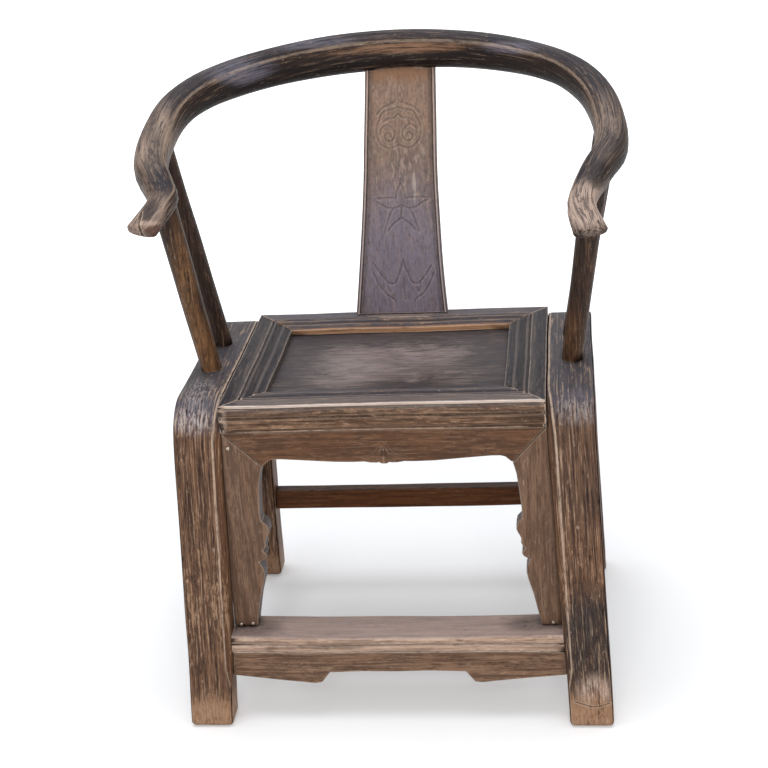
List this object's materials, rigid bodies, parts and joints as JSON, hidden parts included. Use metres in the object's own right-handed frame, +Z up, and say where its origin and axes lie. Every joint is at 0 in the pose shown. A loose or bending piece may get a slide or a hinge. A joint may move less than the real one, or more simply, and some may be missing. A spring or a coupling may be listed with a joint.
{
  "type": "horseshoe back armchair",
  "caption": "Wooden armchair with a bent horseshoe rail running into both hands, round posts, a carved splat, bent side frames, a framed panel seat, shaped aprons and a footrest.",
  "frame": {"origin": "on the floor, under the middle of the chair's outline seen from above", "axes": "+Z up, +Y towards the back, +X towards the right side frame as seen from in front, so the chair faces -Y"},
  "size_m": [0.6868, 0.5384, 0.9016],
  "materials": {
    "bentwood": "old dark lacquer on bent timber, worn to bare brown wood along the grain and at the feet",
    "rail_wood": "old dark lacquer with a dull blue-grey sheen, worn to tan along ridges and at the hands",
    "splat_wood": "dark rubbed lacquer over vertical grain, with shallow carved ornament",
    "seat_wood": "dark lacquer with worn pale edges on the moulding",
    "panel_wood": "grey-brown worn panel with paler rubbed patches",
    "apron_wood": "dry brown wood with traces of lacquer",
    "stretcher_wood": "worn brown wood, paler where feet have rubbed it",
    "nail_iron": "rubbed iron nail heads"
  },
  "bodies": {
    "root": {"left_bent_frame": "bentwood", "right_bent_frame": "bentwood", "horseshoe_rail": "rail_wood", "left_front_post": "rail_wood", "left_rear_post": "rail_wood", "right_front_post": "rail_wood", "right_rear_post": "rail_wood", "back_splat": "splat_wood", "seat_front_rail": "seat_wood", "seat_rear_rail": "seat_wood", "seat_left_stile": "seat_wood", "seat_right_stile": "seat_wood", "seat_panel": "panel_wood", "seat_batten_left": "stretcher_wood", "seat_batten_right": "stretcher_wood", "front_apron": "apron_wood", "front_left_spandrel": "apron_wood", "front_right_spandrel": "apron_wood", "foot_stretcher": "stretcher_wood", "foot_stretcher_apron": "apron_wood", "left_side_stretcher": "stretcher_wood", "right_side_stretcher": "stretcher_wood", "rear_stretcher": "stretcher_wood", "nail_left_outer": "nail_iron", "nail_left_inner": "nail_iron", "nail_right_inner": "nail_iron", "nail_left_top": "nail_iron"}
  },
  "joints": []
}
